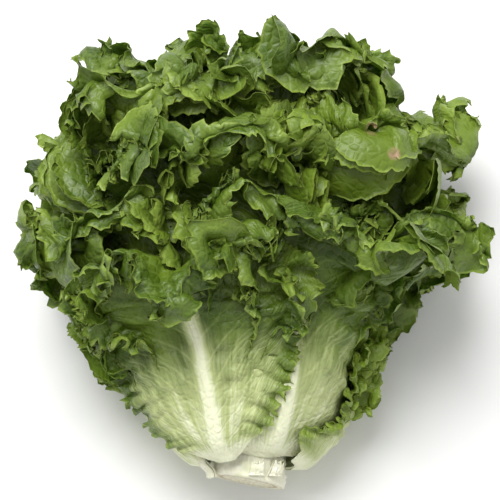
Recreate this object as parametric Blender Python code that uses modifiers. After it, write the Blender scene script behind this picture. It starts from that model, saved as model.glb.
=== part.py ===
"""A head of escarole lying on its side.

The cut stump points along -Y and the crown along +Y. The leaves grow from the stump in a spiral, one
golden angle apart. Each follows a shell of its own, which rises inside the shell of the leaf before it and
falls over outside it, as water does in a fountain, so that no leaf crosses another. Stubs of torn leaves
stand at the base.
"""

import math

import bmesh
import bpy
import mathutils
import numpy as np

# The stem inside the head, in metres.
STUMP_RADIUS = 0.0225
STUMP_SPARE = 0.008
STUMP_RINGS = 9
STUMP_SIDES = 24
STUMP_MERGE = 0.00005
CORE_LENGTH = 0.092
CORE_DRAWN_SHARE = 0.98
CORE_TAPER = 1.7
CUT_SLANT = math.radians(11)
CUTTER_SIZE = 0.080

# The leaves, in metres. A falloff is the power with which a size changes from the outermost leaf to the
# heart.
LEAF_COUNT = 22
LEAF_LENGTH_OUTER = 0.130
LEAF_LENGTH_GAIN = 0.107
LEAF_LENGTH_FALLOFF = 2.4
LEAF_WIDTH_OUTER = 0.078
LEAF_WIDTH_HEART = 0.050
LEAF_WIDTH_FALLOFF = 1.5
TOP_EXTRA_LENGTH = 0.055
TOP_EXTRA_FALLOFF = 2.0
FIRST_LEAF_HEIGHT = 0.006
LEAF_PITCH = 0.0026
GAP = 0.0003

# The leaf's outline: its half width as a share of the widest, at shares of its length, and how far the sides
# of the blade fall back from its tip.
OUTLINE_AT = (0.0, 0.10, 0.25, 0.45, 0.70, 0.90, 1.0)
OUTLINE_HALF = (0.13, 0.21, 0.43, 0.73, 1.0, 0.94, 0.72)
TIP_ROUNDING = 0.15
TIP_POWER = 2.2

# The blade, and the midrib on its back. The rib's spread is a share of the half width, at shares of the
# length.
BLADE_THICKNESS = 0.0009
RIB_THICKNESS = 0.0044
RIB_TAPER = 2.0
RIB_BOTTOM_SHARE = 0.4
RIB_SPREAD_AT = (0.0, 0.3, 1.0)
RIB_SPREAD = (0.75, 0.22, 0.06)

# The spiral. Azimuth 0 is straight up, and it turns towards +X.
FIRST_AZIMUTH = math.radians(-25)
GOLDEN_ANGLE = math.radians(137.5)

# How far the leaves lean out from the axis, in degrees: side leaves from the outermost to the heart, and the
# share of it for leaves on the top and at the bottom.
LEAN_OUTER = 34.0
LEAN_HEART = 8.0
LEAN_FALLOFF = 1.35
LEAN_TOP_SHARE = 0.60
LEAN_BOTTOM_SHARE = 0.45

# How much further out a leaf starts, in degrees, and over what length. The flare is what the outermost side
# leaf adds to it, and it fades over the next few leaves.
SHOULDER = 30.0
SHOULDER_LENGTH = 0.045
SHOULDER_FLARE = 24.0
FLARE_FADE = 2.0

# How much further the last stretch of a leaf turns outwards, in degrees, and how much of that the heart
# lacks. A leaf shorter than FOLD_FROM doesn't turn, and one longer by FOLD_RAMP turns fully.
FOLD_TOP = 128.0
FOLD_SIDE = 48.0
FOLD_BOTTOM = 6.0
FOLD_LENGTH = 0.062
FOLD_FROM = 0.120
FOLD_RAMP = 0.070
FOLD_SHARE = 0.58
FOLD_LOST_AT_HEART = 0.4

# How the head lies on the surface. The leaves that are pressed onto those that lie on it follow a shallow
# wave.
AXIS_HEIGHT = 0.040
AXIS_TILT = math.radians(7)
SETTLE_HEIGHT = 0.010
SETTLE_DROP = 0.007
SETTLE_START = 0.010
SETTLE_RAMP = 0.040
PRESSED_GAP = 0.0021
PRESSED_POWER = 0.8
LEAVES_ON_SURFACE = 2.0
PRESSED_WAVE = 0.016
PRESSED_WAVE_SHARE = 0.12

# Long waves that bend the whole head, in metres. They fade towards the stump, the heart and the underside.
BEND_HEIGHT = 0.0040
BEND_LENGTHS = (0.042, 0.070)
BEND_COUNT = 12
BEND_START = 0.045
BEND_RAMP = 0.080
BEND_RAMP_OUT = 0.045
BEND_UNDERNEATH = 0.35
BEND_SEED = 7

# The frill of a leaf's margin: folds that fan out from a point on the midrib.
FRILL_HEIGHT = 0.0042
FRILL_FOLDS = 11.0
FRILL_UNEVENNESS = 0.8
FRILL_CENTRE = 0.55
FRILL_BOTTOM_SHARE = 0.45
FRILL_LOST_AT_HEART = 0.5
LOBE_DEPTH = 0.05
LOBE_CENTRE = 0.6
FRILL_SEED = 11

# The leaf's grid, across and along, how far its rows crowd towards the tip, and the steps in which it is
# laid out.
GRID_ACROSS = 14
GRID_ALONG = 12
ROW_CROWDING = 1.1
PATH_STEPS = 40
PRESS_ROUNDS = 3
NORMAL_STEP = 0.001

# The stubs of torn leaves: name, azimuth in degrees, length, thickness and lean in degrees.
STUBS = (
    ("torn_stub_left", -67.0, 0.021, 0.0032, 33.0),
    ("torn_stub_middle", 13.0, 0.009, 0.0028, 22.0),
    ("torn_stub_right", 42.0, 0.010, 0.0040, 24.0),
)
STUB_START = 0.0015
STUB_WIDTH = 0.0046
STUB_NARROWING = 0.35
STUB_TEAR = 0.0016
STUB_TEAR_POWER = 4.0
STUB_TEAR_TEETH = 9.0
STUB_GRID = 4

LEAF_GREEN = (0.115, 0.235, 0.045, 1.0)
LEAF_ROUGHNESS = 0.45
STUMP_CREAM = (0.780, 0.740, 0.560, 1.0)
STUMP_ROUGHNESS = 0.55


def clear_scene():
    for obj in list(bpy.data.objects):
        bpy.data.objects.remove(obj, do_unlink=True)


def smooth_step(x):
    x = np.clip(x, 0.0, 1.0)
    return x * x * (3.0 - 2.0 * x)


def core_radius(along):
    """Radius of the stem inside the head, at a distance from the cut."""
    return STUMP_RADIUS * np.sqrt(np.clip(1.0 - (along / CORE_LENGTH) ** CORE_TAPER, 0.0, 1.0))


def by_direction(azimuth, top, side, bottom):
    """A value that turns smoothly from top to side to bottom with the azimuth."""
    c = np.cos(azimuth)
    return side + np.where(c > 0.0, (top - side) * c * c, (bottom - side) * c * c)


def bent(points):
    """The head warped by one long wave after another, each a shear, so that what is apart stays apart."""
    rng = np.random.default_rng(BEND_SEED)
    for _ in range(BEND_COUNT):
        run = rng.normal(size=3)
        run /= np.linalg.norm(run)
        lift = np.cross(run, rng.normal(size=3))
        lift /= np.linalg.norm(lift)
        turn = 2.0 * math.pi / rng.uniform(*BEND_LENGTHS)
        phase = rng.uniform(0.0, 2.0 * math.pi)
        along, height = points[..., 1], points[..., 2]
        off_heart = np.hypot(points[..., 0], height) - STUMP_RADIUS / 2
        freedom = smooth_step((along - BEND_START) / BEND_RAMP) * smooth_step(off_heart / BEND_RAMP_OUT)
        freedom *= BEND_UNDERNEATH + (1.0 - BEND_UNDERNEATH) * smooth_step(1.0 + height / AXIS_HEIGHT)
        wave = BEND_HEIGHT * freedom * np.sin(points @ run * turn + phase)
        points = points + wave[..., None] * lift
    return points


def laid(points):
    """From the head's own frame to the one in which it lies: tilted, lifted and flattened underneath."""
    c, s = math.cos(AXIS_TILT), math.sin(AXIS_TILT)
    x, y, z = points[..., 0], points[..., 1], points[..., 2]
    height = y * s + z * c + AXIS_HEIGHT
    drop = SETTLE_DROP * (1.0 - smooth_step(height / AXIS_HEIGHT))
    settled = SETTLE_HEIGHT * np.logaddexp(0.0, height / SETTLE_HEIGHT) - drop
    height = height + (settled - height) * smooth_step((y - SETTLE_START) / SETTLE_RAMP)
    return np.stack((x, y * c - z * s, height), axis=-1)


class Leaf:
    """One leaf: where it grows, how long and wide it is, and the shell that it follows."""

    def __init__(self, number):
        rng = np.random.default_rng([FRILL_SEED, number])
        self.number = number
        self.depth = number / (LEAF_COUNT - 1)
        self.azimuth = FIRST_AZIMUTH + number * GOLDEN_ANGLE
        self.start = FIRST_LEAF_HEIGHT + LEAF_PITCH * number
        self.length = float(self.reach(np.array(self.azimuth)))
        narrowing = (LEAF_WIDTH_OUTER - LEAF_WIDTH_HEART) * self.depth**LEAF_WIDTH_FALLOFF
        self.width = LEAF_WIDTH_OUTER - narrowing
        self.phase = rng.uniform(0.0, 2.0 * math.pi, size=2)

    def lean(self, azimuth):
        """The angle from the head's axis at which the shell rises, in degrees."""
        side = LEAN_OUTER - (LEAN_OUTER - LEAN_HEART) * self.depth**LEAN_FALLOFF
        return side * by_direction(azimuth, LEAN_TOP_SHARE, 1.0, LEAN_BOTTOM_SHARE)

    def reach(self, azimuth):
        """How long the shell is: longer near the heart, and longer on top, where more of it falls over."""
        side = LEAF_LENGTH_OUTER + LEAF_LENGTH_GAIN * (1.0 - (1.0 - self.depth) ** LEAF_LENGTH_FALLOFF)
        on_top = by_direction(azimuth, TOP_EXTRA_LENGTH, 0.0, 0.0)
        return side + on_top * (1.0 - self.depth) ** TOP_EXTRA_FALLOFF

    def path(self, distance, azimuth):
        """Distance along the head's axis and radius from it, after a distance along the leaf."""
        lean = self.lean(azimuth)
        fold = by_direction(azimuth, FOLD_TOP, FOLD_SIDE, FOLD_BOTTOM)
        fold = fold * (1.0 - FOLD_LOST_AT_HEART * self.depth)
        reach = self.reach(azimuth)
        fold = fold * smooth_step((reach - FOLD_FROM) / FOLD_RAMP)
        fold_start = reach - FOLD_LENGTH
        flare = SHOULDER_FLARE * math.exp(-self.number / FLARE_FADE) * np.sin(azimuth) ** 2
        along = np.full(distance.shape, self.start)
        radius = np.full(distance.shape, float(core_radius(self.start)) + 2.0 * GAP)
        step = distance / PATH_STEPS
        for i in range(PATH_STEPS):
            middle = (i + 0.5) * step
            into_fold = (middle - fold_start) / FOLD_LENGTH
            shoulder = (SHOULDER + flare) * (1.0 - smooth_step(middle / SHOULDER_LENGTH))
            angle = np.radians(lean + shoulder + fold * smooth_step(into_fold / FOLD_SHARE))
            along = along + np.cos(angle) * step
            radius = radius + np.sin(angle) * step
        return along, radius

    def folds(self, sideways, along):
        """How far through the margin's folds a point of the flat leaf is, as an angle."""
        turn = np.arctan2(sideways, along - FRILL_CENTRE * self.length)
        uneven = FRILL_UNEVENNESS * np.sin(2.0 * turn + self.phase[1])
        return FRILL_FOLDS * turn + self.phase[0] + uneven

    def flat(self, u, v):
        """Position in the flat leaf: sideways from the midrib, and along it."""
        sideways = v * np.interp(u, OUTLINE_AT, OUTLINE_HALF) * self.width
        along = self.length * (u - TIP_ROUNDING * np.abs(v) ** TIP_POWER * u**3)
        lobe = LOBE_DEPTH * self.edge(u, v) * np.cos(self.folds(sideways, along))
        return sideways * (1.0 + lobe), along + (along - LOBE_CENTRE * self.length) * lobe

    def shell(self, u, v):
        """Point of the smooth shell, before its waves, in the head's own frame."""
        sideways, distance = self.flat(u, v)
        _, radius_at_rib = self.path(distance, np.full(distance.shape, self.azimuth))
        azimuth = self.azimuth + sideways / radius_at_rib
        along, radius = self.path(distance, azimuth)
        return np.stack((radius * np.sin(azimuth), along, radius * np.cos(azimuth)), axis=-1)

    def outward(self, u, v):
        """Unit normal of the shell on the leaf's back."""
        du = self.shell(u + NORMAL_STEP, v) - self.shell(u - NORMAL_STEP, v)
        dv = self.shell(u, v + NORMAL_STEP) - self.shell(u, v - NORMAL_STEP)
        normal = np.cross(dv, du)
        return normal / np.linalg.norm(normal, axis=-1, keepdims=True)

    def rib(self, u, v):
        """How far the midrib stands out of the blade's back."""
        height = RIB_THICKNESS * by_direction(self.azimuth, 1.0, 1.0, RIB_BOTTOM_SHARE)
        spread = np.interp(u, RIB_SPREAD_AT, RIB_SPREAD)
        return height * (1.0 - u) ** RIB_TAPER * np.exp(-((v / spread) ** 2))

    def edge(self, u, v):
        """0 on the midrib and at the base, 1 on the frilled margin."""
        return smooth_step((u - 0.5) / 0.4) * np.maximum(np.abs(v) ** 1.5, smooth_step((u - 0.7) / 0.3))

    def frill(self, u, v):
        """Folds that run out from the middle of the blade and grow towards its margin."""
        height = FRILL_HEIGHT * (1.0 - FRILL_LOST_AT_HEART * self.depth**2)
        height *= by_direction(self.azimuth, 1.0, 1.0, FRILL_BOTTOM_SHARE)
        return height * self.edge(u, v) * np.sin(self.folds(v * self.width, u * self.length))

    def inner_face(self, u, v):
        """Points of the leaf's inner face as the head lies."""
        return laid(bent(self.shell(u, v) + self.outward(u, v) * self.frill(u, v)[..., None]))

    def underneath(self):
        """How far along the head the leaf would reach if it grew straight down."""
        return self.start + self.length * math.cos(math.radians(float(self.lean(math.pi))))

    def floor(self, points):
        """The height that the leaf is pressed down to: each a little above the one outside it."""
        ends = [Leaf(number).underneath() for number in range(LEAF_COUNT)]
        ended = np.interp(points[..., 1], ends, range(LEAF_COUNT)) - 1.0
        below = np.clip(self.number - np.maximum(LEAVES_ON_SURFACE, ended), 0.0, None)
        wave = np.sin(points[..., 0] / PRESSED_WAVE) * np.sin(points[..., 1] / PRESSED_WAVE)
        return PRESSED_GAP * below**PRESSED_POWER * (1.0 + PRESSED_WAVE_SHARE * wave)


def material(name, colour, roughness):
    made = bpy.data.materials.new(name)
    made.use_nodes = True
    shader = made.node_tree.nodes["Principled BSDF"]
    shader.inputs["Base Color"].default_value = colour
    shader.inputs["Roughness"].default_value = roughness
    shader.inputs["Metallic"].default_value = 0.0
    return made


def move_to(obj, collection):
    for other in list(obj.users_collection):
        other.objects.unlink(obj)
    collection.objects.link(obj)


def grid_object(name, across, along, collection):
    """A flat grid of triangles, and its vertices' places: across from -1 to 1, and along from 0 to 1."""
    bpy.ops.mesh.primitive_grid_add(x_subdivisions=across, y_subdivisions=along, size=2.0)
    obj = bpy.context.object
    obj.name = name
    obj.data.name = name
    move_to(obj, collection)
    mesh = bmesh.new()
    mesh.from_mesh(obj.data)
    bmesh.ops.triangulate(mesh, faces=mesh.faces[:])
    mesh.to_mesh(obj.data)
    mesh.free()
    places = np.array([v.co[:2] for v in obj.data.vertices])
    return obj, places[:, 0], (places[:, 1] + 1.0) / 2.0


def set_points(obj, points):
    obj.data.vertices.foreach_set("co", points.astype(np.float32).ravel())
    obj.data.update()
    obj.data.shade_smooth()


def press(obj, points, floor, thickness):
    """Place the points of the inner face, so that neither face of the leaf is lower than the floor."""
    points[:, 2] = np.maximum(points[:, 2], floor)
    for _ in range(PRESS_ROUNDS):
        set_points(obj, points)
        outward = np.array([v.normal[2] for v in obj.data.vertices])
        lowest = points[:, 2] + thickness * np.minimum(outward, 0.0)
        points[:, 2] += np.maximum(floor - lowest, 0.0)
    set_points(obj, points)


def thicken(obj, thickness):
    """Solidify outwards from the inner face, by one thickness or by a list of one for each vertex."""
    solid = obj.modifiers.new("thickness", "SOLIDIFY")
    solid.offset = 1.0
    solid.thickness = float(np.max(thickness))
    if np.ndim(thickness) == 0:
        return
    thinnest = float(np.min(thickness))
    group = obj.vertex_groups.new(name="thickness")
    for index, share in enumerate((thickness - thinnest) / (solid.thickness - thinnest)):
        group.add([index], float(share), "REPLACE")
    solid.vertex_group = group.name
    solid.thickness_vertex_group = thinnest / solid.thickness


def make_leaf(number, green, collection):
    leaf = Leaf(number)
    obj, v, row = grid_object(f"leaf_{number + 1:02d}", GRID_ACROSS, GRID_ALONG, collection)
    u = 1.0 - (1.0 - row) ** ROW_CROWDING
    points = leaf.inner_face(u, v)
    thickness = BLADE_THICKNESS + leaf.rib(u, v)
    press(obj, points, leaf.floor(points), thickness)
    thicken(obj, thickness)
    obj.data.materials.append(green)
    return obj


def make_stub(name, azimuth, length, thickness, lean, cream, collection):
    """What is left of a leaf torn off: a strip of its thick rib, with a ragged end, leaning off the stump."""
    obj, v, u = grid_object(name, STUB_GRID, STUB_GRID, collection)
    ragged = STUB_TEAR * u**STUB_TEAR_POWER * np.sin(STUB_TEAR_TEETH * v + np.radians(azimuth))
    angle = np.radians(lean) * smooth_step(2.0 * u)
    along = STUB_START + u * length * np.cos(angle) + ragged
    radius = STUMP_RADIUS + GAP + u * length * np.sin(angle)
    around = np.radians(azimuth) + v * (STUB_WIDTH / STUMP_RADIUS) * (1.0 - STUB_NARROWING * u)
    set_points(obj, laid(np.stack((radius * np.sin(around), along, radius * np.cos(around)), axis=-1)))
    thicken(obj, thickness)
    obj.data.materials.append(cream)
    return obj


def make_stump(cream, collection):
    """The stem's turned body, a little longer than what the cut leaves of it."""
    heights = np.linspace(-STUMP_SPARE, CORE_LENGTH * CORE_DRAWN_SHARE, STUMP_RINGS)[::-1]
    outline = [(float(core_radius(max(h, 0.0))), 0.0, float(h)) for h in heights]
    points = [(0.0, 0.0, outline[0][2]), *outline, (0.0, 0.0, outline[-1][2])]
    mesh = bpy.data.meshes.new("stump")
    mesh.from_pydata(points, [(i, i + 1) for i in range(len(points) - 1)], [])
    obj = bpy.data.objects.new("stump", mesh)
    collection.objects.link(obj)
    turn = obj.modifiers.new("turn", "SCREW")
    turn.steps = STUMP_SIDES
    turn.render_steps = STUMP_SIDES
    turn.use_merge_vertices = True
    turn.merge_threshold = STUMP_MERGE
    obj.rotation_euler = (math.radians(-90) + AXIS_TILT, 0.0, 0.0)
    obj.location = (0.0, 0.0, AXIS_HEIGHT)
    obj.data.materials.append(cream)
    return obj


def cut_stump(stump, cutters):
    """The knife's slanting cut across the bottom of the stump."""
    bpy.ops.mesh.primitive_cube_add(size=CUTTER_SIZE)
    cutter = bpy.context.object
    cutter.name = "stump_cutter"
    move_to(cutter, cutters)
    turn = mathutils.Euler((AXIS_TILT, 0.0, -CUT_SLANT))
    back = turn.to_matrix() @ mathutils.Vector((0.0, -CUTTER_SIZE / 2, 0.0))
    cutter.rotation_euler = turn
    cutter.location = back + mathutils.Vector((0.0, 0.0, AXIS_HEIGHT))
    cutter.hide_render = True
    cutter.display_type = "WIRE"
    cut = stump.modifiers.new("cut", "BOOLEAN")
    cut.operation = "DIFFERENCE"
    cut.object = cutter
    return cutter


def centre_on_origin(pieces, cutter, collection):
    """Parent every piece to an empty that brings the middle of the head's underside to the origin."""
    bpy.context.view_layer.update()
    graph = bpy.context.evaluated_depsgraph_get()
    corners = []
    for obj in pieces:
        solid = obj.evaluated_get(graph)
        corners += [solid.matrix_world @ mathutils.Vector(corner) for corner in solid.bound_box]
    low, high = np.min(corners, axis=0), np.max(corners, axis=0)
    middle = bpy.data.objects.new("head_middle", None)
    collection.objects.link(middle)
    middle.location = (-(low[0] + high[0]) / 2, -(low[1] + high[1]) / 2, -low[2])
    for obj in [*pieces, cutter]:
        obj.parent = middle


def main():
    clear_scene()
    head = bpy.data.collections.new("escarole")
    cutters = bpy.data.collections.new("cutters")
    bpy.context.scene.collection.children.link(head)
    bpy.context.scene.collection.children.link(cutters)
    green = material("leaf_green", LEAF_GREEN, LEAF_ROUGHNESS)
    cream = material("stump_cream", STUMP_CREAM, STUMP_ROUGHNESS)
    stump = make_stump(cream, head)
    cutter = cut_stump(stump, cutters)
    stubs = [make_stub(*stub, cream, head) for stub in STUBS]
    leaves = [make_leaf(number, green, head) for number in range(LEAF_COUNT)]
    centre_on_origin([stump, *stubs, *leaves], cutter, head)


main()
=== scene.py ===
"""Looks for a head of escarole that lies on its side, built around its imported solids.

Each leaf of the model is replaced by a finer one on the same shell, with frilled and toothed margins, a
puckered blade, branching veins and a fleshy midrib. The stump and the torn stubs get finer pieces too.
"""

import math

import bpy
import numpy as np
from bpy.props import FloatProperty, FloatVectorProperty, PointerProperty
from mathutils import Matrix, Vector


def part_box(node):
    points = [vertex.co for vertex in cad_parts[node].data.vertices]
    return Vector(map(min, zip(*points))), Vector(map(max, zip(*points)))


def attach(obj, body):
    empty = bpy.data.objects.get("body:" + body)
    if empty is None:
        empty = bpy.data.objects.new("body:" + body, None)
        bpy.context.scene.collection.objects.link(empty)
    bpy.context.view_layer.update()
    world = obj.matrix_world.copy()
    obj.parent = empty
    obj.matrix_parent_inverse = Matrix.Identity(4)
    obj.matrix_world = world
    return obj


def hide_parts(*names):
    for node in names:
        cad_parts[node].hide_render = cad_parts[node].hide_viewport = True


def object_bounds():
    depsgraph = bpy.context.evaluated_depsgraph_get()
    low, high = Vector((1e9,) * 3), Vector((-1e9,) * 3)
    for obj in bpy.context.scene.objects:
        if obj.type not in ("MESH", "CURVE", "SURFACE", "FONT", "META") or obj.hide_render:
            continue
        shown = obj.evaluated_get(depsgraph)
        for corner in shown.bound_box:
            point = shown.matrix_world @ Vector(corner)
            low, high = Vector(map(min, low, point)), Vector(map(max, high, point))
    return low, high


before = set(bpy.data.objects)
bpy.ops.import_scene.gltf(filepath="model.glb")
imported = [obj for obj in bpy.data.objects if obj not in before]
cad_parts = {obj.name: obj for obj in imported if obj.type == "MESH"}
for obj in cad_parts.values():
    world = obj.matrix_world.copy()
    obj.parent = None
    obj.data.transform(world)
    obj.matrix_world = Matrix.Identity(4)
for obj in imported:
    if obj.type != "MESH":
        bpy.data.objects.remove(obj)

bl_info = {
    "name": "Escarole head",
    "version": (1, 0, 0),
    "blender": (4, 5, 0),
    "location": "View3D > Sidebar > Escarole",
    "description": "Finer leaves, stump and stage for a head of escarole",
    "category": "Add Mesh",
}

CAD_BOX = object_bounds()
BODY = "root"

# The head's own measures, as its solids have them, in metres and degrees.
STUMP_RADIUS = 0.0225
CORE_LENGTH = 0.092
CORE_DRAWN_SHARE = 0.98
CORE_TAPER = 1.7
CUT_SLANT = math.radians(11)
LEAF_COUNT = 22
LEAF_LENGTH_OUTER = 0.130
LEAF_LENGTH_GAIN = 0.107
LEAF_LENGTH_FALLOFF = 2.4
LEAF_WIDTH_OUTER = 0.078
LEAF_WIDTH_HEART = 0.050
LEAF_WIDTH_FALLOFF = 1.5
TOP_EXTRA_LENGTH = 0.055
TOP_EXTRA_FALLOFF = 2.0
FIRST_LEAF_HEIGHT = 0.006
LEAF_PITCH = 0.0026
GAP = 0.0003
OUTLINE_AT = (0.0, 0.10, 0.25, 0.45, 0.70, 0.90, 1.0)
OUTLINE_HALF = (0.13, 0.21, 0.43, 0.73, 1.0, 0.94, 0.72)
TIP_ROUNDING = 0.15
TIP_POWER = 2.2
FIRST_AZIMUTH = math.radians(-25)
GOLDEN_ANGLE = math.radians(137.5)
LEAN_OUTER = 34.0
LEAN_HEART = 8.0
LEAN_FALLOFF = 1.35
LEAN_TOP_SHARE = 0.60
LEAN_BOTTOM_SHARE = 0.45
SHOULDER = 30.0
SHOULDER_LENGTH = 0.045
SHOULDER_FLARE = 24.0
FLARE_FADE = 2.0
FOLD_TOP = 128.0
FOLD_SIDE = 48.0
FOLD_BOTTOM = 6.0
FOLD_LENGTH = 0.062
FOLD_FROM = 0.120
FOLD_RAMP = 0.070
FOLD_SHARE = 0.58
FOLD_LOST_AT_HEART = 0.4
AXIS_HEIGHT = 0.040
AXIS_TILT = math.radians(7)
SETTLE_HEIGHT = 0.010
SETTLE_DROP = 0.007
SETTLE_START = 0.010
SETTLE_RAMP = 0.040
PRESSED_GAP = 0.0021
PRESSED_POWER = 0.8
LEAVES_ON_SURFACE = 2.0
PRESSED_WAVE = 0.016
PRESSED_WAVE_SHARE = 0.12
BEND_HEIGHT = 0.0040
BEND_LENGTHS = (0.042, 0.070)
BEND_COUNT = 12
BEND_START = 0.045
BEND_RAMP = 0.080
BEND_RAMP_OUT = 0.045
BEND_UNDERNEATH = 0.35
BEND_SEED = 7
FRILL_HEIGHT = 0.0042
FRILL_FOLDS = 11.0
FRILL_UNEVENNESS = 0.8
FRILL_CENTRE = 0.55
FRILL_BOTTOM_SHARE = 0.45
FRILL_LOST_AT_HEART = 0.5
LOBE_DEPTH = 0.05
LOBE_CENTRE = 0.6
FRILL_SEED = 11
PATH_STEPS = 40

# The finer sheets' grids: columns along a margin, rows from the rib or the root to it as shares of the
# way, and how many columns each row takes as one, so that the mesh is densest at the margin. Columns are
# wider apart at a leaf's base, and the rows that end at its corners and its tip start partway up the rib.
BLADE_COLUMNS = 801
BLADE_ROWS = (0.0, 0.04, 0.09, 0.16, 0.26, 0.38, 0.50, 0.61, 0.71, 0.80, 0.88, 0.94, 0.98, 1.0)
BLADE_STRIDES = (4, 4, 4, 4, 4, 4, 4, 2, 2, 2, 1, 1, 1, 1)
FRILL_COLUMNS = 561
FRILL_ROWS = (0.0, 0.24, 0.46, 0.66, 0.82, 0.94, 1.0)
FRILL_STRIDES = (4, 4, 2, 2, 1, 1, 1)
BASE_COLUMNS = 0.35
BASE_COLUMNS_END = 0.3
CORNER_ROW_DROP = 0.3
TIP_ROW_RISE = 0.2

# Leaves by number, from 0 for the outermost, where one isn't like most: the share of the solid leaf's
# reach and width that the finer blade takes before its frills stand out again, how strongly it curls, its
# tone of green, its tiers of doubled frills and how much longer they are.
FINE_REACH = 0.965
REACH_OF = {
    1: 0.79, 2: 0.82, 5: 0.92, 6: 0.95, 9: 1.00, 10: 0.93,
    14: 0.96, 16: 0.975, 18: 0.94, 19: 0.86, 21: 0.92,
}
WIDTH_OF = {1: 0.80, 2: 0.84, 11: 1.05, 14: 1.20}
CURL_OF = {3: 0.85, 11: 0.6}
# Leaf 1 takes tone 4, the palest: partly its own pale yellow-green, partly painted light that lightens its
# frills where shade falls.
TONE_OF = {1: 4, 2: 2, 4: 1, 7: 1, 9: 1, 11: 3, 12: 1, 14: 1}
TIERS_OF = {3: (0,), 11: (1,)}
LONG_FRILL = {11: 2.0}

# The tones from deep green, 0, to yellowish, 1, the one with bruises, and the bruises' places and sizes.
# The last tone, 1.0, serves leaf 1: partly its own pale colour, partly painted light on its shaded frills.
TONES = (0.05, 0.35, 0.60, 0.47, 1.0)
BRUISED_TONE = 3
BRUISES = (((0.0722, 0.0405, 0.1598), 0.0045), ((0.0835, 0.0245, 0.1580), 0.0048))

# The bases of the four outermost leaves and of all others: how much wider they spread beside the stump,
# how much they narrow at its edge, and how much farther up the stem they start, and where that ends.
BASES = ((0.30, 0.45, 0.008), (2.00, 0.0, 0.004), (0.70, 0.0, 0.0), (1.60, 0.0, 0.0), (0.30, 0.0, 0.0))
SPREAD_RAMP = 0.03
SPREAD_END = 0.16
SPREAD_FADE = 0.3
NARROW_FADE = 0.12
START_FADE = 0.05

# Where the curls start up the leaf, earlier on outer leaves, and how they grow from there and from the
# rib. The broad folds start at a distance from the base. Curls are weaker underneath and at the heart.
CURL_START = 0.30
CURL_EARLIER = 0.27
CURL_RAMP = 0.24
CURL_OFF_RIB = 0.22
FOLDS_FROM = 0.045
FOLDS_RAMP = 0.055
CURL_LOST_UNDERNEATH = 0.6
CURL_LOST_AT_HEART = 0.25

# The midrib, its white band, the thicker blade beside it and the side ribs: half widths and heights in
# metres, the side ribs' places in the base's fan, where they end, and the fan's middle below the base.
RIB_HALF_WIDTH = 0.0068
RIB_TIP_HALF_WIDTH = 0.0008
RIB_HEIGHT = 0.0050
WHITE_HALF_WIDTH = 0.0062
WHITE_TIP_HALF_WIDTH = 0.0010
WING_HALF_WIDTH = 0.016
WING_HEIGHT = 0.0016
SIDE_RIBS_AT = (0.24, 0.50, 0.80)
SIDE_RIB_HEIGHT = 0.0012
SIDE_RIBS_END = 0.045
SIDE_RIBS_FADE = 0.075
FAN_CENTRE = 0.020

# Where the white of the rib ends, as a share of the leaf's length and farther up on outer leaves, and
# where the pale base and the whiter root end, in metres.
WHITE_END = 0.28
WHITE_END_MORE = 0.22
WHITE_FADE = 0.36
BASE_END = 0.012
BASE_FADE = 0.112
ROOT_END = 0.006
ROOT_FADE = 0.028

# How steeply the veins run up from the rib, much more so near the base, and the distance between them
# along the rib. Then for each order of veins: how many take that distance, how far from the rib to the
# margin they begin, and their width.
VEIN_SLANT = 1.0
VEIN_SLANT_AT_BASE = 2.4
VEIN_SLANT_FADE = 0.035
VEIN_GAP = 0.016
VEINS = ((1.0, 0.0, 0.0017), (2.0, 0.30, 0.0011), (4.0, 0.60, 0.0007))

# How far in from the margin the teeth and the lobes move it, and where the blade begins to thin.
TOOTH_BAND = 0.0045
LOBE_BAND = 0.013
THIN_BAND = 0.006

# Where the doubled frills stand on a leaf: shares of the way from the rib to the margin, and how far up
# the leaf they start. They grow from there, over a share of the leaf, and shrink at both ends, over some
# of the blade's columns, to a least length. Then how steeply they rise and by how much they drape over,
# in degrees, the height of their puckers, and the point that they face away from. A leaf underneath the
# head, where the cosine of its azimuth is no more than the last of these, has one tier of them.
DOUBLED_AT = (0.74, 0.50)
DOUBLED_FROM = 0.42
DOUBLED_RAMP = 0.25
DOUBLED_ENDS = 30.0
DOUBLED_LEAST = 0.0008
DRAPE_START = 48.0
DRAPE = (60.0, 85.0)
DOUBLED_PUCKER = 0.0008
CROWN_MIDDLE = np.array((0.0, 0.02, 0.070))
UNDERNEATH = -0.45

# The solids' top, and over how much height below it the crown is pressed together. Then how softly blades
# lie on what is under them, how high above it that acts, and the least height of their outer faces.
TOP = CAD_BOX[1][2]
TOP_SOFT = 0.016
FLOOR_SOFT = 0.0012
FLOOR_BAND = 0.02
FACE_GAP = 0.0002

# Where the outline is pushed out or in, in metres: a middle, the push's reach and its shift in x and y.
PUSHES = (
    ((0.118, 0.055, 0.070), 0.032, (0.020, 0.0)),
    ((0.122, 0.080, 0.080), 0.026, (0.0, -0.018)),
    ((0.056, 0.089, 0.153), 0.026, (0.001, 0.026)),
    ((0.018, 0.101, 0.170), 0.020, (0.0, -0.014)),
    ((0.085, 0.085, 0.100), 0.022, (0.008, 0.005)),
    ((-0.004, 0.098, 0.130), 0.018, (0.0, 0.012)),
    ((-0.045, 0.105, 0.120), 0.022, (0.0, -0.015)),
    ((-0.070, 0.095, 0.115), 0.017, (0.0, 0.014)),
    ((-0.100, 0.078, 0.140), 0.020, (-0.008, 0.008)),
    ((-0.128, 0.004, 0.120), 0.020, (-0.012, 0.006)),
    ((-0.122, -0.040, 0.075), 0.020, (-0.007, 0.0)),
    ((-0.107, -0.067, 0.129), 0.025, (0.012, 0.0)),
    ((-0.108, -0.048, 0.055), 0.026, (0.014, 0.0)),
    ((0.100, -0.065, 0.060), 0.036, (-0.024, 0.0)),
    ((0.095, -0.052, 0.022), 0.026, (-0.014, 0.0)),
)

# How many waves make up the noise in a shape.
NOISE_WAVES = 14

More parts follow.
